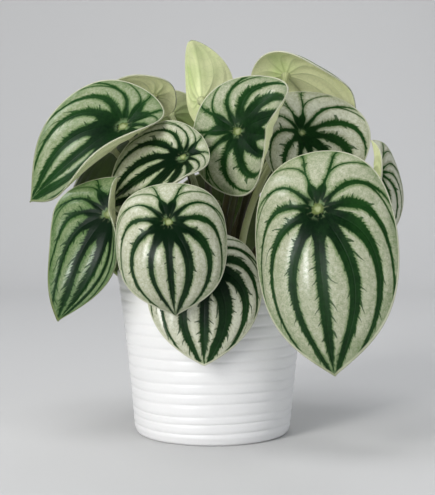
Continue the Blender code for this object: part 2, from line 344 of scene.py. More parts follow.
def bladePoints(blade, angle, share):
    # Points of the upper face, from the outline angle and the share of the way out to the margin.
    across, along = outlinePoint(blade, angle)
    across = np.copysign(across, angle) * share
    along = along * share
    tipward = np.maximum(0.0, along / blade["toTip"])
    flat = np.stack((across, along), axis=1)
    across = across * (1 + blade["lean"] * np.sign(across))
    forwardTip, dropTip = arc(blade["tipBend"], blade["toTip"], along)
    forwardBase, dropBase = arc(blade["baseBend"], blade["toBase"], along)
    forward = np.where(along > 0, forwardTip, forwardBase)
    drop = np.where(along > 0, dropTip, dropBase)
    fold = np.where(across > 0, blade["right"], blade["left"]) * (1 - blade["relax"] * tipward)
    sideways, sideDrop = arc(fold, blade["width"] / 2 * blade["crease"], across)
    distance = np.hypot(across, along)
    dimple = leafSetup["dimpleDepth"] * np.exp(-(distance / leafSetup["dimpleRadius"]) ** 2)
    wave = leafSetup["waveHeight"] * share ** 3 * np.sin(leafSetup["waves"] * angle)
    height = drop + sideDrop - dimple + wave
    sideways = sideways + blade["sweep"] * tipward ** 2
    side, tip, up = (np.array(axis) for axis in bladeAxes(blade))
    places = np.outer(sideways, side) + np.outer(forward, tip) + np.outer(height, up)
    return np.array(blade["at"]) + places, flat


def veinNumbers(blade, angle, share):
    # The vein that each point lies on: 0 on the midrib, 5.5 at the middle of the base lobe.
    last = leafSetup["lastVein"]
    grid = np.linspace(0, math.pi, 361)
    across, along = outlinePoint(blade, grid)
    direction = np.arctan2(across, along)
    part = np.linspace(0, 1, 221)
    start = np.interp(part * math.pi, direction, grid)
    end = math.pi * part ** leafSetup["veinCrowding"]
    early, later, inner = leafSetup["veinCurve"]
    delay = early + later * np.minimum(1, part * last / inner)
    numbers = np.zeros_like(angle)
    for ring in np.unique(np.round(share, 5)):
        route = np.maximum.accumulate(start + (end - start) * ring ** delay)
        chosen = np.abs(share - ring) < 1e-4
        numbers[chosen] = np.interp(np.abs(angle[chosen]), route, part) * last
    return numbers


def discMesh():
    # A round sheet of rings and spokes, the rings closer together at the margin.
    rings = leafSetup["rings"]
    turn = math.pi / 2 * leafSetup["marginCrowding"]
    shares = [math.sin(step / rings * turn) / math.sin(turn) for step in range(rings + 1)]
    return spinMesh([(share, 0) for share in shares], leafSetup["spokes"])


def veinSpacing(blade, angle, share, places, vein):
    # Metres from one vein to the next, at each point.
    step = 0.002 * np.where(angle < 0, -1, 1) * np.where(np.abs(angle) < math.pi / 2, 1, -1)
    moved = np.linalg.norm(bladePoints(blade, angle + step, share)[0] - places, axis=1)
    passed = np.abs(veinNumbers(blade, angle + step, share) - vein)
    return np.clip(moved / np.maximum(passed, 1e-6), *leafSetup["spacingLimits"])


def smoothStep(value, low, high):
    ratio = np.clip((value - low) / (high - low), 0, 1)
    return ratio * ratio * (3 - 2 * ratio)


def readNumbers(items, name, kind=float, width=1):
    values = np.empty(len(items) * width, dtype=kind)
    items.foreach_get(name, values)
    return values


def readVerts(mesh):
    return readNumbers(mesh.vertices, "co", width=3).reshape(-1, 3)


def vertNormals(mesh):
    return readNumbers(mesh.vertex_normals, "vector", width=3).reshape(-1, 3)


def writeVerts(mesh, places):
    mesh.vertices.foreach_set("co", np.ascontiguousarray(places, dtype=float).ravel())
    mesh.update()


def addPiece(name, mesh, coats, slot, *nodes):
    mesh.name = name
    for coat in coats:
        mesh.materials.append(coat)
    piece = addObject(name, mesh)
    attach(piece, "root")
    if nodes:
        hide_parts(*nodes)
    return piece


def paintMaps(mesh, disc, vein, share, flat):
    # Two maps: vein number and share, and the blade laid flat in metres.
    loopVerts = readNumbers(mesh.loops, "vertex_index", np.int64)
    starts = readNumbers(mesh.polygons, "loop_start", np.int64)
    totals = readNumbers(mesh.polygons, "loop_total", np.int64)
    middle = np.add.reduceat(disc[loopVerts, 1], starts)
    sign = np.repeat(np.where(middle > 0, 1.0, -1.0), totals)
    loopVein = vein[loopVerts] * sign
    centre = share[loopVerts] < 1e-4
    others = np.add.reduceat(np.where(centre, 0.0, loopVein), starts) / (totals - 1)
    loopVein = np.where(centre, np.repeat(others, totals), loopVein)
    veins = np.stack((loopVein, share[loopVerts]), axis=1)
    for name, values in (("veins", veins), ("flat", flat[loopVerts])):
        mesh.uv_layers.new(name=name).data.foreach_set("uv", values.ravel())


def addLeaf(number, blade, disc, coats):
    mesh = disc.copy()
    circle = readVerts(mesh)
    share = np.hypot(circle[:, 0], circle[:, 1])
    angle = np.arctan2(circle[:, 1], circle[:, 0])
    places, flat = bladePoints(blade, angle, share)
    vein = veinNumbers(blade, angle, share)
    writeVerts(mesh, places)
    up = np.array(bladeAxes(blade)[2])
    if vertNormals(mesh)[np.argmin(share)] @ up < 0:
        mesh.flip_normals()
    paintMaps(mesh, circle, vein, share, flat)
    between = 0.5 - 0.5 * np.cos(2 * math.pi * vein)
    strength = smoothStep(share, *leafSetup["quiltStart"])
    strength = strength * (1 - smoothStep(share, *leafSetup["quiltEnd"]))
    lobe = 1 - 0.5 * smoothStep(vein, *leafSetup["quiltLobe"])
    scale = blade["width"] / leafSetup["quiltWidth"]
    lift = leafSetup["quiltHeight"] * between * strength * lobe * scale
    writeVerts(mesh, places + vertNormals(mesh) * lift[:, None])
    levels = dict(zip(lookNames, leafLooks.get(number, usualLook)))
    levels["spacing"] = veinSpacing(blade, angle, share, places, vein)
    for name, level in levels.items():
        values = mesh.attributes.new(name, "FLOAT", "POINT")
        values.data.foreach_set("value", np.broadcast_to(level, len(mesh.vertices)).astype(np.float32))
    piece = addPiece(f"blade_{number:02d}", mesh, coats, "leaf_green", f"leaf_{number:02d}")
    body = piece.modifiers.new("body", "SOLIDIFY")
    body.thickness = leafSetup["thickness"]
    body.offset = -1.0
    body.use_even_offset = True
    body.material_offset = 1
    body.material_offset_rim = 2


# Upper face: silver between dark bands. Lengths are in metres, scales in noise waves to the metre.
upperPaint = {
    "silvers": ((0.0, (0.075, 0.135, 0.045)), (0.35, (0.19, 0.245, 0.125)),
                (0.72, (0.388, 0.402, 0.29)), (1.0, (0.57, 0.585, 0.465))),
    "dark": (0.002, 0.011, 0.003),
    "darkFresh": (0.015, 0.065, 0.011),
    "spot": (0.31, 0.35, 0.18),
    "spotEdge": (0.13, 0.17, 0.05),
    "star": (0.18, 0.27, 0.12),
    "rim": (0.5, 0.51, 0.38),
    "rimDull": (0.13, 0.17, 0.06),
    "patches": (60.0, 0.3),  # scale, and strength in the silver
    "flecks": (520.0, 0.55),
    "grains": (1700.0, 0.6),
    "net": (420.0, 0.1),
    "marginGreen": 0.2,  # how much greener the silver is near the margin
    "edgeGreen": (0.0026, 0.42),  # how far past a band, and how much
    "oval": -0.35,  # draws the dark heart out towards the tip
    "bandRoom": 0.0105,  # with more room between two veins, a band grows no wider
    "bandMost": 0.46,
    "bandVary": 0.3,
    "bandSides": (0.62, 1.08),  # widths left and right of the midrib
    "bandRanks": (0.88, 0.13),  # widths on the midrib and in the lobe
    "forks": ((0.5, 0.25), (0.74, 0.15)),  # where the lobe's veins fork, and how widely
    "lineStart": 0.0014,  # half a vein's line at the heart
    "lineEnd": 0.00034,
    "blur": 0.0002,
    "blurHeart": 0.0008,
    "slant": (22.0, 0.45),
    "teeth": 0.005,
    "comb": 620.0,  # fine teeth to the metre
    "combHeight": 0.0026,
    "beat": 130.0,  # side veins to the metre
    "spike": 0.0085,  # the longest of them
    "shine": 0.65,
    "shineLost": 0.85,  # the share that the dark bands lose
    "roughness": (0.32, 0.24),  # the least, and what the flecks add
    "relief": 0.00028,
    "fineRelief": 0.0001,
}


def leafSockets(paint):
    # Vein number and share, lengths, grain and the leaf's own looks.
    look = upperPaint
    at = SimpleNamespace()
    at.place = paint.place()
    for name in ("silver", "fresh", "heart", "spot", "band", "teeth", "spacing"):
        setattr(at, name, paint.attribute(name))
    at.number, at.share, _ = paint.uv("veins")
    _, tipward, flat = paint.uv("flat")
    at.radius = paint.node("ShaderNodeVectorMath", {0: flat}, "Value", operation="LENGTH")
    at.near = paint.scaled(tipward, look["oval"], at.radius)
    at.patch, at.fleck, at.grain = (
        paint.noise(at.place, look[name][0]) for name in ("patches", "flecks", "grains"))
    return at


def findVein(paint, at):
    # The nearest vein, its rank from the midrib, and the way to it.
    topFork, lobeFork = upperPaint["forks"]
    at.nearest = paint.calc("ROUND", at.number)
    at.offset = paint.minus(at.number, at.nearest)
    at.outer = paint.size(at.number)
    at.rank = paint.size(at.nearest)
    at.seed = paint.calc("ROUND", paint.times(at.silver, 100.0))

    # The veins of the base lobe fork on their way to the margin, the topmost pair the most.
    topmost = paint.calc("GREATER_THAN", at.outer, 4.5)
    lobed = paint.minus(paint.calc("GREATER_THAN", at.outer, 3.5), topmost)
    fork = paint.times(paint.smooth(at.share, topFork[0], 1.0, 0.0, topFork[1]), topmost)
    small = paint.times(paint.smooth(at.share, lobeFork[0], 1.0, 0.0, lobeFork[1]), lobed)
    fork = paint.plus(fork, small)
    at.away = paint.size(paint.minus(paint.size(at.offset), fork))
    at.gap = paint.times(at.away, at.spacing)


def bandHalf(paint, at):
    # Half the width of each band, never more than the room allows.
    look = upperPaint
    middle, lobe = look["bandRanks"]
    own = paint.scaled(paint.draw(paint.join(at.nearest, at.seed, 4.0)), look["bandVary"], 1.0)
    own = paint.times(own, paint.smooth(at.number, -1.5, 1.5, *look["bandSides"]))
    wide = paint.times(paint.smooth(at.rank, 0.9, 5.1, 1.0, lobe),
                       paint.smooth(at.rank, 0.0, 1.0, middle, 1.0))
    half = paint.times(paint.calc("MINIMUM", at.spacing, look["bandRoom"]), at.band)
    half = paint.times(own, wide, half, paint.smooth(at.share, 0.8, 1.0, 1.0, 0.5))
    line = paint.within(at.near, at.heart, 1.0, 3.0, look["lineStart"], look["lineEnd"])
    fading = paint.minus(at.share, paint.times(at.outer, 0.02))
    line = paint.times(line, paint.smooth(fading, 0.76, 0.88, 1.0, 0.0))
    half = paint.calc("MAXIMUM", half, line)
    half = paint.calc("MINIMUM", half, paint.times(at.spacing, look["bandMost"]))

    # Near the stalk the bands run together, and furthest in a trunk between the two topmost veins.
    core = paint.within(at.near, at.heart, 0.6, 1.35, 0.5, 0.0)
    core = paint.times(core, paint.smooth(at.outer, 2.4, 4.0, 1.0, 0.5))
    trunk = paint.within(at.radius, at.heart, 0.9, 1.6, 0.45, 0.0)
    trunk = paint.times(trunk, paint.smooth(at.outer, 4.2, 5.0))
    return paint.scaled(paint.calc("MAXIMUM", core, trunk), at.spacing, half)


def bandTeeth(paint, at):
    # Teeth leave each band at a slant, towards the tip: noise and a comb, drawn out along that slant.
    look = upperPaint
    curve, lean = look["slant"]
    slant = paint.scaled(paint.times(at.gap, at.gap), curve, paint.times(at.gap, lean))
    run = paint.minus(at.radius, slant)
    at.run = paint.scaled(paint.noise(at.place, 190.0), 0.0022, run)
    side = paint.calc("SIGN", at.offset)
    at.lane = paint.scaled(at.nearest, 7.31, paint.scaled(side, 3.17, at.seed))
    coarse = paint.noise(paint.join(paint.times(at.run, 230.0), at.lane), 1.0, 0.0)
    medium = paint.noise(paint.join(paint.times(at.run, 1250.0), at.lane, 20.0), 1.0, 1.0)

    # Stoutest where there is room, on a band's outer side, and least in the lobe and by the heart.
    room = paint.calc("MINIMUM", 1.0, paint.calc("DIVIDE", at.spacing, 0.009))
    outward = paint.calc("GREATER_THAN", paint.times(at.offset, at.number), 0.0)
    at.stout = paint.times(room, paint.smooth(at.rank, 2.4, 4.4, 1.0, 0.22),
                           paint.scaled(outward, 0.65, 0.35),
                           paint.within(at.near, at.heart, 1.0, 2.6, 0.35, 1.0), at.teeth)
    ragged = paint.minus(paint.scaled(medium, 0.7, paint.times(coarse, 0.3)), 0.5)
    comb = paint.calc("PINGPONG", paint.scaled(medium, 0.8, paint.times(at.run, look["comb"])), 0.5)
    teeth = paint.scaled(ragged, look["teeth"], paint.times(comb, look["combHeight"]))
    return paint.times(teeth, at.stout)


def sideVeins(paint, at):
    # A thin dark vein at each beat along a band, of its own length, longest on the second bands.
    look = upperPaint
    beat = paint.scaled(at.run, look["beat"], paint.times(at.lane, 0.37))
    beat = paint.scaled(paint.noise(at.place, 60.0, 1.0), 2.0, beat)
    step = paint.calc("FLOOR", beat)
    middle = paint.size(paint.minus(beat, step, 0.5))
    length = paint.scaled(paint.draw(paint.join(step, at.lane, 9.0)), 0.8, 0.2)
    length = paint.times(length, paint.scaled(paint.calc("COMPARE", at.rank, 2.0, 0.5), 0.8, 1.0))
    length = paint.times(paint.smooth(middle, 0.0, 0.13, 1.0, 0.0), length, look["spike"], at.stout)
    spike = paint.smooth(paint.minus(at.past, length), -look["blur"], look["blur"], 1.0, 0.0)
    return paint.times(spike, paint.smooth(at.share, 0.15, 0.3, 0.0, 0.85))


def silverColour(paint, at):
    # Mottled silver, greener by the bands, near the margin and in the fine net of veins.
    look = upperPaint
    scale, depth = look["net"]
    reach, green = look["edgeGreen"]
    tone = at.silver
    for grain, name in ((at.patch, "patches"), (at.fleck, "flecks"), (at.grain, "grains")):
        tone = paint.vary(grain, look[name][1], tone)
    margin = paint.smooth(at.share, 0.84, 0.99, 0.0, look["marginGreen"])
    edge = paint.smooth(at.past, 0.0, reach, green, 0.0)
    net = paint.smooth(paint.cells(at.place, scale, "DISTANCE_TO_EDGE"), 0.0, 0.09, depth, 0.0)
    return paint.ramp(paint.minus(tone, margin, edge, net), *look["silvers"])


def darkColour(paint, at):
    # Deepest in the heart and on the midrib, fresher at the edges of the bands.
    depth = paint.vary(at.fleck, 0.5, paint.times(at.fresh, 0.9))
    depth = paint.plus(paint.vary(at.patch, 0.6, depth),
                       paint.within(at.near, at.heart, 1.0, 2.6, -0.3, 0.04),
                       paint.smooth(at.outer, 0.5, 3.0, -0.06, 0.12),
                       paint.smooth(at.past, -0.0012, 0.0, 0.0, 0.2))
    return paint.blend(depth, upperPaint["dark"], upperPaint["darkFresh"])


def stalkSpot(paint, at, colour):
    # The uneven spot where the stalk joins, with faint short rays along the veins and flecks around it.
    look = upperPaint
    ray = paint.times(paint.smooth(at.away, 0.0, 0.24, 0.34, 0.0),
                      paint.within(at.radius, at.spot, 1.0, 3.0, 1.0, 0.0),
                      paint.smooth(at.fleck, 0.35, 0.6))
    colour = paint.blend(ray, colour, look["spot"])
    star = paint.times(paint.smooth(paint.noise(at.place, 300.0), 0.5, 0.62),
                       paint.within(at.radius, at.spot, 1.0, 2.8, 0.75, 0.0))
    colour = paint.blend(star, colour, look["star"])
    wander = paint.vary(paint.noise(at.place, 330.0), 0.0042, at.radius)
    colour = paint.blend(paint.within(wander, at.spot, 1.0, 1.5, 0.85, 0.0), colour, look["spotEdge"])
    return paint.blend(paint.within(wander, at.spot, 0.35, 1.0, 0.85, 0.0), colour, look["spot"])


def rimColour(paint, worn, silver, outer):
    # Brightest on silver leaves and round the base lobe.
    tone = paint.scaled(outer, 0.12, paint.scaled(worn, 0.5, silver))
    return paint.blend(paint.smooth(tone, 0.75, 1.25), upperPaint["rimDull"], upperPaint["rim"])


def upperFace():
    look = upperPaint
    paint = Paint("leafUpper", Coat_Roughness=0.24, Specular_IOR_Level=0.08)
    at = leafSockets(paint)
    findVein(paint, at)
    half = bandHalf(paint, at)
    teeth = bandTeeth(paint, at)
    at.past = paint.minus(at.gap, half, teeth)
    blur = paint.within(at.near, at.heart, 1.0, 2.4, look["blurHeart"], look["blur"])
    band = paint.smooth(at.past, paint.times(blur, -1.0), blur, 1.0, 0.0)
    spike = sideVeins(paint, at)
    dark = paint.calc("MAXIMUM", band, spike)
    colour = paint.blend(dark, silverColour(paint, at), darkColour(paint, at))
    colour = stalkSpot(paint, at, colour)
    colour = paint.blend(paint.smooth(at.share, 0.976, 0.986, 0.0, 0.95), colour,
                         rimColour(paint, at.patch, at.silver, at.outer))

    # The wax shines in patches, not in the heart and hardly on the bands.
    shine = paint.times(paint.within(at.near, at.heart, 0.9, 2.0, 0.0, look["shine"]),
                        paint.smooth(paint.noise(at.place, 260.0, 3.0), 0.3, 0.55, 0.45, 1.0),
                        paint.scaled(dark, -look["shineLost"], 1.0))
    paint.feed(paint.shader.inputs["Coat Weight"], shine)
    smoothest, more = look["roughness"]
    groove = paint.times(paint.smooth(at.gap, 0.0, 0.0009, -1.0, 0.0), paint.smooth(at.share, 0.1, 0.4))
    relief = paint.plus(groove, paint.times(paint.noise(at.place, 500.0, 3.0), 0.75))
    relief = paint.minus(relief, paint.times(spike, 0.25))
    bumped = paint.bump(relief, 0.6, look["relief"])
    bumped = paint.bump(at.grain, 0.35, look["fineRelief"], bumped)
    return paint.finish(colour, paint.scaled(at.fleck, more, smoothest), bumped)


underPaint = {
    # The pale colour is the undersides' own pale green, and on a high pale level it also paints light
    # shining through the blade; shade is painted shade for undersides deep in the plant.
    "pale": (0.84, 0.87, 0.52),
    "green": (0.4, 0.56, 0.17),
    "vein": (0.22, 0.31, 0.09),
    "shade": (0.03, 0.06, 0.014),
    "lineWidth": 0.0009,
    "ridgeWidth": 0.0012,
    "ridge": 0.0003,
}


def underFace():
    look = underPaint
    paint = Paint("leafUnder", Coat_Weight=0.1, Coat_Roughness=0.35, Specular_IOR_Level=0.2)
    number, share, _ = paint.uv("veins")
    place = paint.place()
    light = paint.attribute("pale")
    away = paint.size(paint.minus(number, paint.calc("ROUND", number)))
    gap = paint.times(away, paint.attribute("spacing"))
    cloud = paint.noise(place, 40.0, 3.0)
    # The pale level moves an underside from green to pale: partly its own colour, partly painted light
    # on lit undersides.
    tone = paint.scaled(share, 0.2, paint.scaled(light, 0.55, cloud))
    colour = paint.blend(paint.smooth(tone, 0.6, 1.2), look["green"], look["pale"])
    line = paint.smooth(gap, 0.0001, look["lineWidth"], 0.34, 0.0)
    line = paint.times(line, paint.smooth(share, 0.25, 1.0, 1.0, 0.2))
    net = paint.smooth(paint.cells(place, 300.0, "DISTANCE_TO_EDGE"), 0.0, 0.08, 0.14, 0.0)
    colour = paint.blend(paint.calc("MAXIMUM", line, net), colour, look["vein"])
    # Painted shade: undersides with a low pale level are darkened towards the shade colour, less so at
    # the margin.
    shaded = paint.times(paint.smooth(light, 0.2, 0.8, 0.86, 0.0),
                         paint.smooth(share, 0.955, 0.985, 1.0, 0.3))
    colour = paint.blend(shaded, colour, look["shade"])
    grain = paint.noise(place, 1500.0)
    ridge = paint.times(paint.smooth(gap, 0.0, look["ridgeWidth"], 1.0, 0.0),
                        paint.smooth(share, 0.0, 0.9, 1.0, 0.2))
    bumped = paint.bump(paint.scaled(grain, 0.3, ridge), 0.5, look["ridge"])
    return paint.finish(colour, paint.scaled(grain, 0.2, 0.4), bumped)


def marginFace():
    paint = Paint("leafMargin", Coat_Weight=0.1, Coat_Roughness=0.35)
    worn = paint.noise(paint.place(), 300.0, 3.0)
    number, _, _ = paint.uv("veins")
    colour = rimColour(paint, worn, paint.attribute("silver"), paint.size(number))
    return paint.finish(colour, paint.scaled(worn, 0.2, 0.35))


coats = (upperFace(), underFace(), marginFace())
disc = discMesh()
for number, blade in enumerate(leaves, start=1):
    addLeaf(number, blade, disc, coats)
print("leaves made")


# Stalks, each on the route of its solid.
stalkSetup = {
    "sides": 14,
    "steps": 26,
    "radius": 0.0024,
    "taper": 0.72,
    "neck": 0.004,
    "neckShares": (0.35, 0.65, 0.85, 1.0),
    "joint": 0.0013,  # from the dimple to the neck
    "plunge": 0.6,  # how deep in the blade a stalk ends
    "rise": 0.002,
    "holeDepth": 0.01,
    "sunk": 0.8,  # how far down its hole a stalk reaches
    "soilTop": 0.088,
    "soilMound": 0.003,
    "soilRadius": 0.045,
    "flare": 0.0013,
    "foot": 0.0005,
    "footShare": 0.12,
    "tone": (-0.72, 0.12),  # from the foot to the top; darker at the foot, partly the stalks' own colour and partly painted shade low in the plant
    "footColour": (0.045, 0.04, 0.015),
    "dark": (0.07, 0.09, 0.03),
    "pale": (0.6, 0.64, 0.36),
    "litStalks": {8: 1.05, 1: 0.1, 7: 0.15},  # how much paler these stalks are: painted light on stalks out in the light, the rest keep the darker painted shade
}


def soilHeight(root):
    outward = min(1.0, math.hypot(*root) / stalkSetup["soilRadius"])
    return stalkSetup["soilTop"] + stalkSetup["soilMound"] * (1 - outward)


def stalkRoute(blade):
    look = stalkSetup
    dimple = leafSetup["dimpleDepth"]
    x, y = blade["root"]
    up = bladeAxes(blade)[2]
    surface = soilHeight(blade["root"])
    end = blade["at"] - up * (dimple + leafSetup["thickness"] * look["plunge"])
    neck = blade["at"] - up * (dimple + look["joint"] + look["neck"])
    start = Vector((x, y, surface + look["rise"]))
    span = (neck - start).length
    first = start + Vector((0, 0, span * blade["climb"]))
    second = neck - up * span * blade["reach"] + Vector((0, 0, blade["sway"]))
    points = [Vector((x, y, surface - look["holeDepth"] * look["sunk"]))]
    for step in range(look["steps"]):
        t = step / (look["steps"] - 1)
        points.append(start * (1 - t) ** 3 + first * 3 * t * (1 - t) ** 2
                      + second * 3 * t * t * (1 - t) + neck * t ** 3)
    points += [neck + (end - neck) * share for share in look["neckShares"]]
    return points


def tubeMesh(points, radii, sides):
    # A grid rolled into a tube along a route, its two ends closed.
    shape = bmesh.new()
    rows = len(points)
    bmesh.ops.create_grid(shape, x_segments=sides, y_segments=rows - 1, size=1)
    uv = shape.loops.layers.uv.new("stalk")
    corners = {vert: ((vert.co.x + 1) / 2, (vert.co.y + 1) / 2) for vert in shape.verts}
    for face in shape.faces:
        for loop in face.loops:
            loop[uv].uv = corners[loop.vert]
    frames = []
    ahead = (points[1] - points[0]).normalized()
    across = ahead.orthogonal().normalized()
    for row, point in enumerate(points):
        new = (points[min(row + 1, rows - 1)] - points[max(row - 1, 0)]).normalized()
        across = (across - new * across.dot(new)).normalized()
        frames.append((point, across, new.cross(across)))
    for vert, (around, along) in corners.items():
        row = round(along * (rows - 1))
        point, first, second = frames[row]
        angle = around * 2 * math.pi
        vert.co = point + (first * math.cos(angle) + second * math.sin(angle)) * radii[row]
    bmesh.ops.remove_doubles(shape, verts=shape.verts, dist=1e-6)
    bmesh.ops.holes_fill(shape, edges=shape.edges, sides=0)
    bmesh.ops.recalc_face_normals(shape, faces=shape.faces)
    return toMesh(shape)


def stalkPaint():
    look = stalkSetup
    paint = Paint("stalk", Coat_Weight=0.15, Coat_Roughness=0.3)
    around, along, _ = paint.uv("stalk")
    place = paint.place()
    streak = paint.noise(paint.join(paint.times(around, 30.0), paint.times(along, 2.0)), 1.0, 3.0)
    cloud = paint.noise(place, 90.0, 3.0)
    # Darker towards the foot, partly the stalks' own colour and partly painted shade low in the plant;
    # the lift paints some stalks paler as painted light.
    tone = paint.plus(paint.times(streak, 0.6), paint.times(cloud, 0.5),
                      paint.smooth(along, 0.25, 0.95, *look["tone"]), paint.attribute("lift"))
    colour = paint.ramp(tone, (0.0, look["footColour"]), (0.25, look["dark"]), (0.8, look["pale"]))
    speck = paint.smooth(paint.cells(place, 700.0), 0.1, 0.22, 0.35, 0.0)
    colour = paint.blend(speck, colour, look["dark"])
    return paint.finish(colour, paint.scaled(cloud, 0.2, 0.28), paint.bump(streak, 0.4, 0.0002))


def stalkRadii(rows):
    # Stouter at the foot, tapering upwards, and flaring where it meets the blade.
    radii = []
    for row in range(rows):
        share = row / (rows - 1)
        swell = stalkSetup["foot"] * max(0.0, 1 - share / stalkSetup["footShare"])
        flare = stalkSetup["flare"] * max(0.0, (row - rows + 5) / 4) ** 2
        radii.append(stalkSetup["radius"] * (1 - (1 - stalkSetup["taper"]) * share) + swell + flare)
    return radii


stalkCoat = stalkPaint()
for number, blade in enumerate(leaves, start=1):
    points = stalkRoute(blade)
    mesh = tubeMesh(points, stalkRadii(len(points)), stalkSetup["sides"])
    # Painted light: the lifted stalks are painted paler than the rest, which stay in painted shade.
    lift = mesh.attributes.new("lift", "FLOAT", "POINT")
    lift.data.foreach_set("value", [stalkSetup["litStalks"].get(number, 0.0)] * len(mesh.vertices))
    addPiece(f"petiole_{number:02d}", mesh, [stalkCoat], "stalk_pale", f"stalk_{number:02d}")
print("stalks made")


# Pot.
potSetup = {
    "height": 0.101,
    "foot": 0.0478,
    "flare": 0.075,
    "belly": 0.35,
    "wall": 0.0036,
    "floor": 0.0045,
    "sides": 180,
    "bands": (0.007, 0.0128, 0.0172, 0.0246, 0.0306, 0.0366, 0.044, 0.0505, 0.057, 0.064,
              0.0705, 0.0775, 0.084, 0.091),  # the heights of the grooves between them
    "rowsPerBand": 10,
    "rowsInside": 16,
    "footFlat": 0.03,
    "fades": (0.002, 0.004),  # how far from the foot and the rim the bands begin
    "vary": (0.75, 0.35),  # the depth of a groove, at least and round the pot
    "swell": 0.0004,
    "groove": 0.0005,
    "wobble": 0.0004,
    "footRound": 0.003,
    "rimRound": 0.0012,
    "white": (0.8, 0.8, 0.8),
    "shade": (0.74, 0.74, 0.745),
}


def potRadius(height):
    return potSetup["foot"] + potSetup["flare"] * height + potSetup["belly"] * height ** 2


def roundCorner(radius, height, size, start, end, steps=6):
    points = []
    for step in range(steps + 1):
        angle = math.radians(start + (end - start) * step / steps)
        points.append((radius + size * math.cos(angle), height + size * math.sin(angle)))
    return points


def potShape():
    look = potSetup
    low = look["footRound"]
    profile = [(0.0, 0.0), (look["footFlat"], 0.0)]
    profile += roundCorner(look["foot"] - low, low, low, -90, -8)
    top = look["height"] - look["rimRound"]
    edges = (low,) + look["bands"] + (top,)
    for start, end in zip(edges, edges[1:]):
        for row in range(1, look["rowsPerBand"] + 1):
            height = start + (end - start) * row / look["rowsPerBand"]
            profile.append((potRadius(height), height))
    outer = potRadius(top)
    size = look["rimRound"]
    profile += roundCorner(outer - size, top, size, 15, 90)
    profile += roundCorner(outer - look["wall"] + size, top, size, 90, 180)
    for row in range(1, look["rowsInside"] + 1):
        height = top - (top - look["floor"]) * row / look["rowsInside"]
        profile.append((potRadius(height) - look["wall"], height))
    profile.append((0.0, look["floor"]))
    mesh = spinMesh(profile, look["sides"])
    addBands(mesh, look, low, top)
    return mesh


def addBands(mesh, look, low, top):
    # Lifts each band on the outside into a soft swell, with a shallow wandering groove between two.
    places = readVerts(mesh)
    radius = np.hypot(places[:, 0], places[:, 1])
    angle = np.arctan2(places[:, 1], places[:, 0])
    height = places[:, 2]
    outside = radius > potRadius(height) - look["wall"] * 0.5
    outside &= (height > low * 1.01) & (height < top)
    grooves = np.array((low - 0.003,) + look["bands"] + (look["height"] + 0.004,))
    wander = look["wobble"] * (np.sin(2 * angle + 0.7) + 0.6 * np.sin(3 * angle + height * 90))
    level = height + wander
    upper = np.clip(np.searchsorted(grooves, level), 1, len(grooves) - 1)
    ratio = (level - grooves[upper - 1]) / (grooves[upper] - grooves[upper - 1])
    centred = np.abs(2 * ratio - 1)
    least, more = look["vary"]
    vary = least + more * np.sin(angle * 2 + upper * 1.9) * np.sin(angle + upper * 0.8)
    fromFoot, fromRim = look["fades"]
    fade = smoothStep(height, low, low + fromFoot) * (1 - smoothStep(height, top - fromRim, top))
    lift = (look["swell"] * (1 - centred ** 3) - look["groove"] * vary * centred ** 9) * fade
    places[:, 0] += np.where(outside, np.cos(angle) * lift, 0)
    places[:, 1] += np.where(outside, np.sin(angle) * lift, 0)
    writeVerts(mesh, places)


def potPaint():
    look = potSetup
    paint = Paint("potWhite", Coat_Weight=0.12, Coat_Roughness=0.35)
    place = paint.place()
    cloud = paint.noise(place, 22.0, 3.0)
    grain = paint.noise(place, 900.0, 3.0)
    rings = paint.noise(paint.stretch(place, (6.0, 6.0, 420.0)), 1.0, 3.0)
    tone = paint.plus(paint.times(cloud, 0.5), paint.times(grain, 0.25))
    colour = paint.blend(paint.smooth(tone, 0.1, 0.6), look["shade"], look["white"])
    bumped = paint.bump(grain, 0.2, 0.00006, paint.bump(rings, 0.25, 0.0002))
    return paint.finish(colour, paint.scaled(grain, 0.2, 0.34), bumped)


addPiece("planter", potShape(), [potPaint()], "pot_white", "pot")
print("pot made")


# Potting mix: a lumpy surface with bark crumbs and a few white grains on it.
mixSetup = {
    "seed": 7,
    "sides": 120,
    "rows": 34,
    "gap": 0.0004,  # to the pot's wall and floor
    "levels": (0.03, 0.055, 0.08),
    "lump": 0.0013,
    "lumpScales": (160, 420),
    "crumbs": 620,
    "crumbSize": (0.0008, 0.0026),
    "grains": 70,
    "grainSize": (0.0007, 0.0014),
    "reach": 0.0505,
    "clear": 0.0036,  # from a stalk's middle
    "dark": (0.01, 0.007, 0.005),
    "brown": (0.06, 0.04, 0.026),
    "bits": (0.11, 0.075, 0.045),
    "barkDark": (0.02, 0.013, 0.008),
    "bark": (0.13, 0.08, 0.045),
    "fibre": (0.03, 0.02, 0.012),
    "pit": (0.35, 0.34, 0.32),
    "grain": (0.72, 0.71, 0.68),
}


def mixHeight(x, y):
    wide, fine = mixSetup["lumpScales"]
    lumps = noise.noise(Vector((x * wide, y * wide, 3.0)))
    lumps += 0.5 * noise.noise(Vector((x * fine, y * fine, 9.0)))
    return soilHeight((x, y)) + mixSetup["lump"] * lumps


def mixShape():
    look = mixSetup
    top = stalkSetup["soilTop"]
    inset = potSetup["wall"] + look["gap"]
    low = potSetup["floor"] + look["gap"]
    profile = [(0.0, low)] + [(potRadius(height) - inset, height) for height in (low,) + look["levels"]]
    wall = potRadius(top) - inset
    profile += [(wall * (1 - row / look["rows"]), top) for row in range(look["rows"] + 1)]
    mesh = spinMesh(profile, look["sides"])
    places = readVerts(mesh)
    for row, (x, y, z) in enumerate(places):
        if z > top - 1e-5:
            places[row, 2] = mixHeight(x, y)
    writeVerts(mesh, places)
    return mesh


def freeSpot(rng, reach):
    while True:
        x, y = rng.uniform(-reach, reach, 2)
        clear = min(math.dist((x, y), blade["root"]) for blade in leaves)
        if math.hypot(x, y) < reach and clear > mixSetup["clear"]:
            return x, y


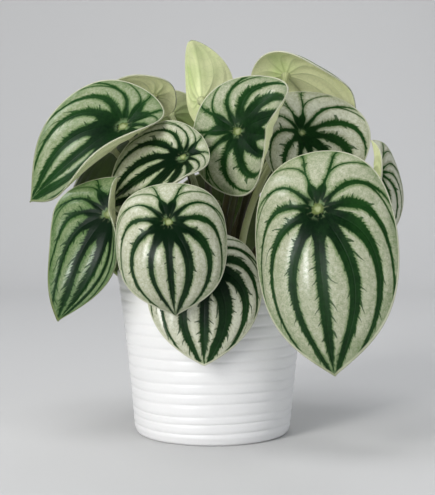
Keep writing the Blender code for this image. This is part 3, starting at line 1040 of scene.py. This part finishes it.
def scatterMesh(count, sizes, flatness, rng):
    # Small rough lumps, each turned its own way, half sunk in the surface.
    shape = bmesh.new()
    for _ in range(count):
        x, y = freeSpot(rng, mixSetup["reach"])
        size = rng.uniform(*sizes)
        made = bmesh.ops.create_icosphere(shape, subdivisions=1, radius=1)["verts"]
        stretch = Vector((size, size * rng.uniform(0.55, 0.9), size * rng.uniform(*flatness)))
        turn = Matrix.Rotation(rng.uniform(0, 6.28), 4, "Z")
        turn = turn @ Matrix.Rotation(rng.uniform(-0.6, 0.6), 4, "X")
        for vert in made:
            rugged = 1 + 0.35 * noise.noise(vert.co * 1.7 + Vector((x * 900, y * 900, 0)))
            vert.co = turn @ (vert.co * stretch * rugged) + Vector((x, y, mixHeight(x, y) + size * 0.2))
    return toMesh(shape)


def mixPaint():
    look = mixSetup
    paint = Paint("growingMix")
    place = paint.place()
    lumps = paint.noise(place, 420.0, 4.0, 0.65)
    bits = paint.cells(place, 520.0)
    colour = paint.blend(paint.smooth(lumps, 0.35, 0.7), look["dark"], look["brown"])
    colour = paint.blend(paint.smooth(bits, 0.05, 0.3, 0.5, 0.0), colour, look["bits"])
    return paint.finish(colour, paint.scaled(lumps, 0.2, 0.75), paint.bump(lumps, 0.9, 0.0012))


def barkPaint():
    look = mixSetup
    paint = Paint("barkCrumbs")
    place = paint.place()
    hue = paint.noise(place, 160.0)
    fibre = paint.noise(paint.stretch(place, (400.0, 1500.0, 900.0)), 1.0, 3.0)
    colour = paint.blend(paint.smooth(hue, 0.3, 0.7), look["barkDark"], look["bark"])
    colour = paint.blend(paint.times(fibre, 0.4), colour, look["fibre"])
    return paint.finish(colour, paint.scaled(fibre, 0.2, 0.7), paint.bump(fibre, 0.6, 0.0004))


def grainPaint():
    look = mixSetup
    paint = Paint("whiteGrains")
    pits = paint.cells(paint.place(), 1800.0)
    colour = paint.blend(paint.smooth(pits, 0.0, 0.5), look["pit"], look["grain"])
    return paint.finish(colour, paint.scaled(pits, 0.1, 0.8), paint.bump(pits, 0.7, 0.0003))


rng = np.random.default_rng(mixSetup["seed"])
addPiece("growingMix", mixShape(), [mixPaint()], "potting_mix", "potting_mix")
crumbs = scatterMesh(mixSetup["crumbs"], mixSetup["crumbSize"], (0.3, 0.6), rng)
crumbs.shade_flat()
addPiece("barkCrumbs", crumbs, [barkPaint()], "potting_mix")
grains = scatterMesh(mixSetup["grains"], mixSetup["grainSize"], (0.7, 1.0), rng)
addPiece("whiteGrains", grains, [grainPaint()], "potting_mix")
print("potting mix made")


# Floor and light.
stageSetup = {
    "near": -2.0,
    "bend": 0.9,
    "bendRadius": 0.5,
    "bendSteps": 24,
    "height": 2.2,
    "halfWidth": 2.6,
    "colour": (0.62, 0.62, 0.62),
    "clouds": (0.52, 0.52, 0.52),
    "aim": (0, 0, 0.13),  # what the lights point at
    "sky": (0.9, 0.94, 1.0),
    "skyStrength": 0.36,
    "skyGloss": 0.06,  # the sky's strength in reflections
}

# Name, place, size, power, colour, and whether a light gives shade or highlights.
lights = (
    ("key", (-0.9, -1.15, 0.6), (0.34, 1.2), 19.0, (1.0, 0.985, 0.96), "shade"),
    ("window", (-0.23, -0.37, 0.08), (0.14, 0.15), 1.4, (0.96, 0.98, 1.0), "highlights"),
    ("side", (-1.0, 0.0, 1.06), (0.55, 0.3), 3.8, (0.96, 0.98, 1.0), "highlights"),
    ("top", (-0.25, -0.35, 1.55), (0.9, 0.9), 9.0, (1.0, 1.0, 1.0), "shade"),
    ("fill", (1.1, -0.9, 0.3), (1.0, 1.0), 4.0, (0.95, 0.97, 1.0), "shade"),
    ("back", (0.35, 1.0, 1.15), (0.8, 0.8), 4.0, (1.0, 1.0, 1.0), "shade"),
)


def addStage(look):
    # One sheet: the floor, a bend and the wall behind.
    profile = [(look["near"], 0.0), (look["bend"], 0.0)]
    for step in range(1, look["bendSteps"] + 1):
        angle = math.radians(90 * step / look["bendSteps"])
        profile.append((look["bend"] + look["bendRadius"] * math.sin(angle),
                        look["bendRadius"] * (1 - math.cos(angle))))
    profile.append((profile[-1][0], look["height"]))
    shape = bmesh.new()
    edges = addChain(shape, [(-look["halfWidth"], y, z) for y, z in profile])[1]
    made = bmesh.ops.extrude_edge_only(shape, edges=edges)["geom"]
    moved = [item for item in made if isinstance(item, bmesh.types.BMVert)]
    bmesh.ops.translate(shape, verts=moved, vec=(2 * look["halfWidth"], 0, 0))
    mesh = toMesh(shape)
    paint = Paint("floor", Roughness=0.85)
    faint = paint.times(paint.noise(paint.place(), 3.0), 0.06)
    tint = paint.blend(faint, look["colour"], look["clouds"])
    mesh.materials.append(paint.finish(tint))
    floor = addObject("floor", mesh)


def addLight(name, place, size, power, colour, gives):
    lamp = bpy.data.lights.new(name, "AREA")
    lamp.shape = "RECTANGLE"
    lamp.size, lamp.size_y = size
    lamp.energy = power
    lamp.color = colour
    item = addObject(name, lamp)
    item.location = place
    item.visible_glossy = gives == "highlights"
    item.visible_diffuse = gives == "shade"
    item.visible_camera = False
    aim = Vector(stageSetup["aim"]) - Vector(place)
    item.rotation_euler = aim.to_track_quat("-Z", "Y").to_euler()


def addSky(look):
    world = bpy.data.worlds.new("sky")
    world.use_nodes = True
    tree = world.node_tree
    background = tree.nodes["Background"]
    background.inputs["Color"].default_value = (*look["sky"], 1.0)
    rays = tree.nodes.new("ShaderNodeLightPath")
    strength = tree.nodes.new("ShaderNodeMapRange")
    strength.inputs["To Min"].default_value = look["skyStrength"]
    strength.inputs["To Max"].default_value = look["skyGloss"]
    tree.links.new(rays.outputs["Is Glossy Ray"], strength.inputs["Value"])
    tree.links.new(strength.outputs[0], background.inputs["Strength"])
    bpy.context.scene.world = world


addStage(stageSetup)
for row in lights:
    addLight(*row)
addSky(stageSetup)
print("floor and light set")
